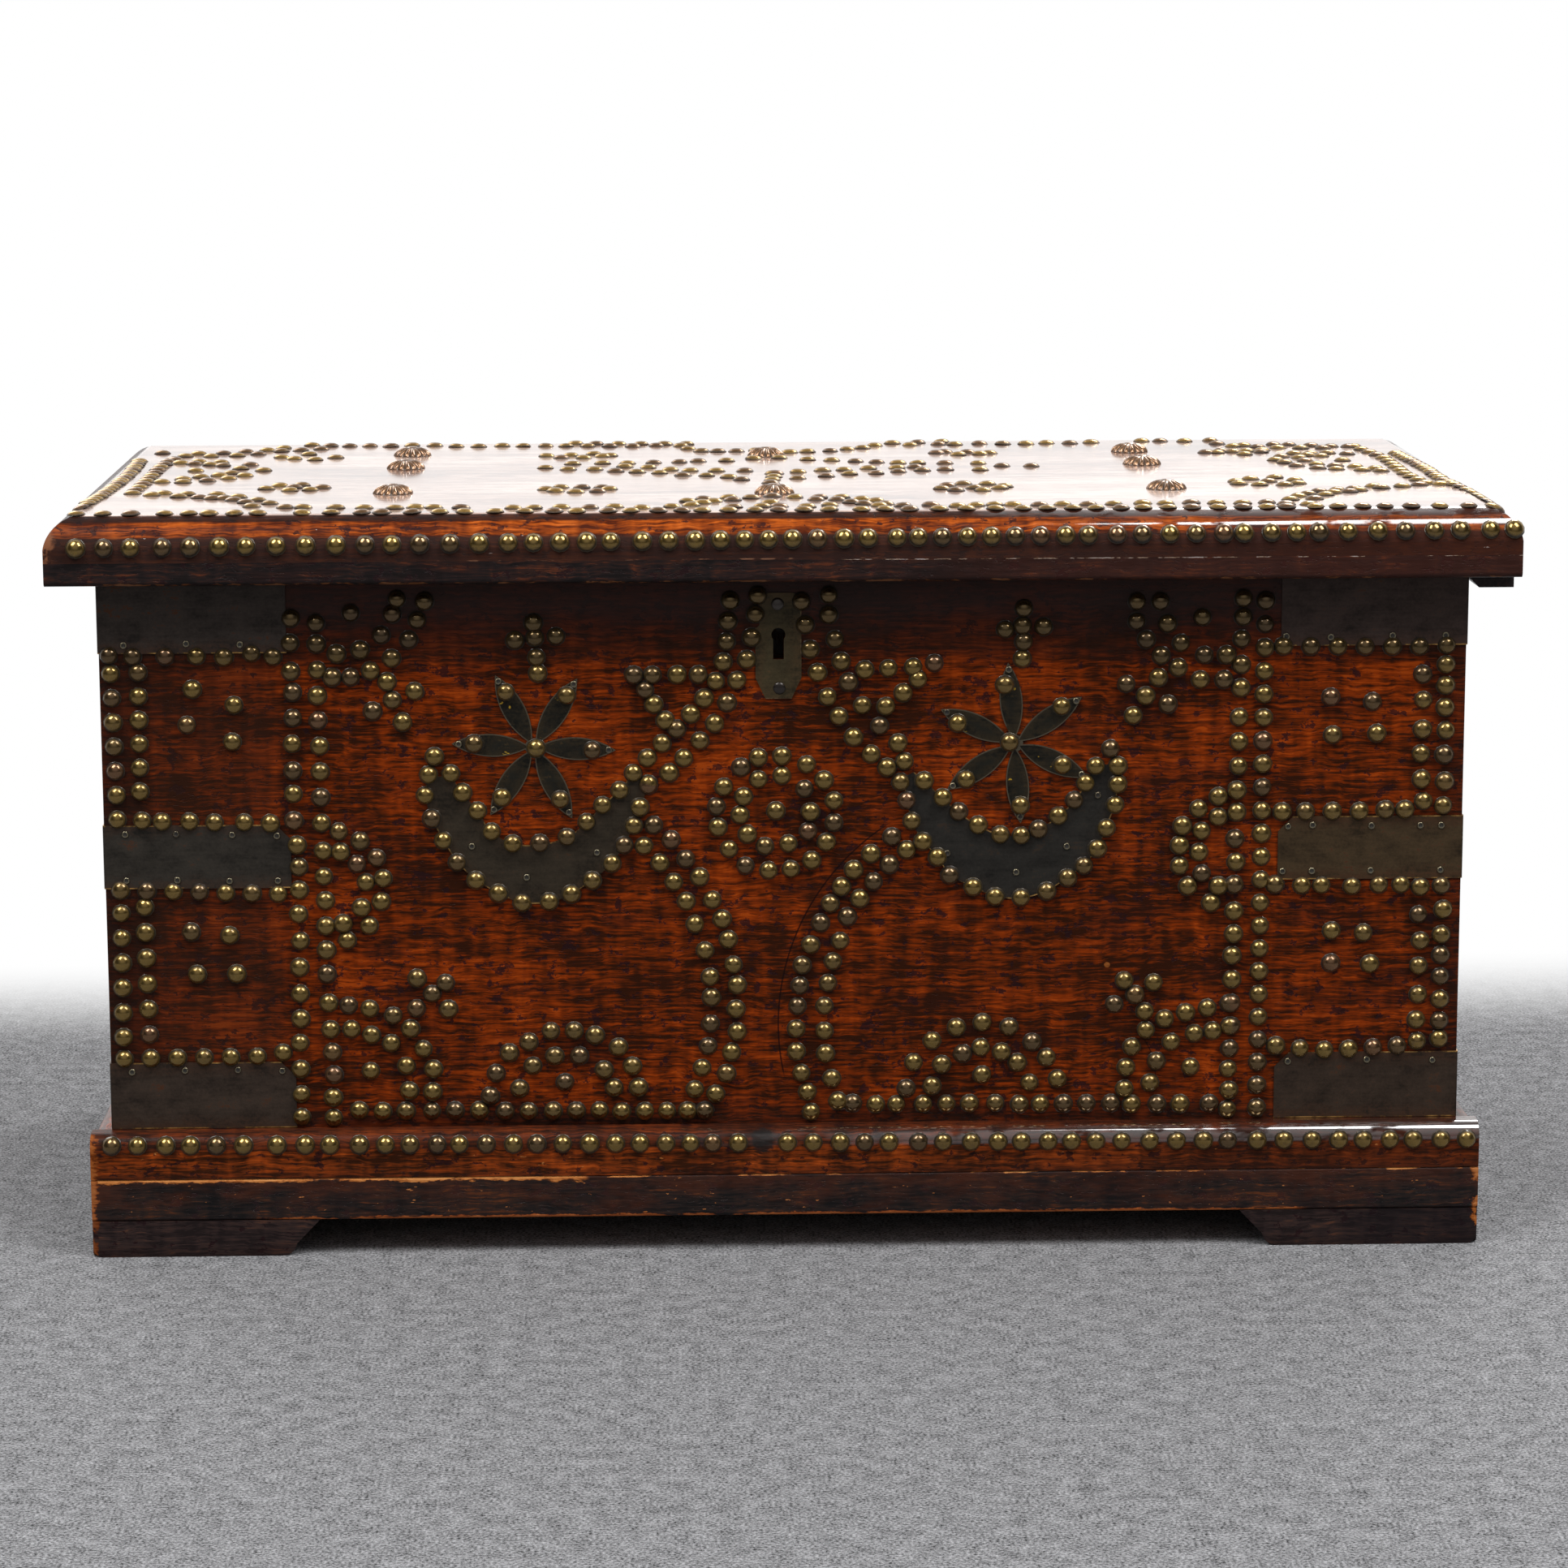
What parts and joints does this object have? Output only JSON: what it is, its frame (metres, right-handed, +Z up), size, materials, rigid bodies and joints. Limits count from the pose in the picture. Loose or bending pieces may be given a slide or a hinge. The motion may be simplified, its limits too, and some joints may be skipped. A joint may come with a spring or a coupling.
{
  "type": "studded dowry chest",
  "caption": "Teak dowry chest on bracket feet with a hinged moulded lid, domed brass nails in rows, sheet-brass corner straps, crescents and flowers, a lock and drop handles.",
  "frame": {"origin": "bottom centre of the whole chest, on the surface it stands on", "axes": "+Z up, +X along the length to the right of someone facing the chest, +Y from the front to the back"},
  "size_m": [1.174, 0.56, 0.6157],
  "materials": {
    "cast_brass": "cast brass, handled and dull",
    "inside_wood": "dry unpolished teak",
    "nail_brass": "worn domed brass nails",
    "sheet_brass": "dark patinated brass sheet",
    "teak_boards": "shellac-polished red-brown teak, worn",
    "teak_lid": "glossy polished teak, dark at the edges",
    "teak_plinth": "dark polished teak with worn arrises",
    "wrought_iron": "dark wrought iron"
  },
  "bodies": {
    "chest": {"back_board": "teak_boards", "base_rail_back": "teak_plinth", "base_rail_front": "teak_plinth", "base_rail_left": "teak_plinth", "base_rail_right": "teak_plinth", "bottom_plank_1": "inside_wood", "bottom_plank_2": "inside_wood", "bottom_plank_3": "inside_wood", "corner_strap_left_bottom": "sheet_brass", "corner_strap_left_middle": "sheet_brass", "corner_strap_left_top": "sheet_brass", "corner_strap_right_bottom": "sheet_brass", "corner_strap_right_middle": "sheet_brass", "corner_strap_right_top": "sheet_brass", "crescent_left": "sheet_brass", "crescent_right": "sheet_brass", "end_board_left": "teak_boards", "end_board_right": "teak_boards", "escutcheon": "sheet_brass", "flower_left": "sheet_brass", "flower_right": "sheet_brass", "foot_back_left": "teak_plinth", "foot_back_right": "teak_plinth", "foot_front_left": "teak_plinth", "foot_front_right": "teak_plinth", "front_board": "teak_boards", "handle_plate_left": "sheet_brass", "handle_plate_right": "sheet_brass", "handle_posts_left": "cast_brass", "handle_posts_right": "cast_brass", "hinge_body_leaf_left": "wrought_iron", "hinge_body_leaf_right": "wrought_iron", "hinge_pin_left": "wrought_iron", "hinge_pin_right": "wrought_iron", "lock_case": "wrought_iron", "plinth_moulding_front": "teak_plinth", "plinth_moulding_left": "teak_plinth", "plinth_moulding_right": "teak_plinth", "till_floor": "inside_wood", "till_front": "inside_wood"},
    "lid": {"hinge_lid_strap_left": "wrought_iron", "hinge_lid_strap_right": "wrought_iron", "lid_batten_left": "teak_lid", "lid_batten_right": "teak_lid", "lid_front_strip": "teak_lid", "lid_plank_back": "teak_lid", "lid_plank_front": "teak_lid", "lid_rosettes": "nail_brass", "lock_staple": "wrought_iron"},
    "bolt": {"lock_bolt": "wrought_iron"},
    "handle_left": {"handle_bail_left": "cast_brass"},
    "handle_right": {"handle_bail_right": "cast_brass"}
  },
  "joints": [
    {"name": "lid_hinge", "type": "hinge", "parent": "chest", "child": "lid", "pos_m": [0, 0.263, 0.5716], "axis": [-1, 0, 0], "range_deg": [0, 105]},
    {"name": "lock_bolt_slide", "type": "slide", "parent": "chest", "child": "bolt", "axis": [1, 0, 0], "range_m": [0, 0.012]},
    {"name": "handle_left_hinge", "type": "hinge", "parent": "chest", "child": "handle_left", "pos_m": [-0.565, 0.008, 0.345], "axis": [0, 1, 0], "range_deg": [0, 170]},
    {"name": "handle_right_hinge", "type": "hinge", "parent": "chest", "child": "handle_right", "pos_m": [0.565, 0.008, 0.345], "axis": [0, -1, 0], "range_deg": [0, 170]}
  ]
}
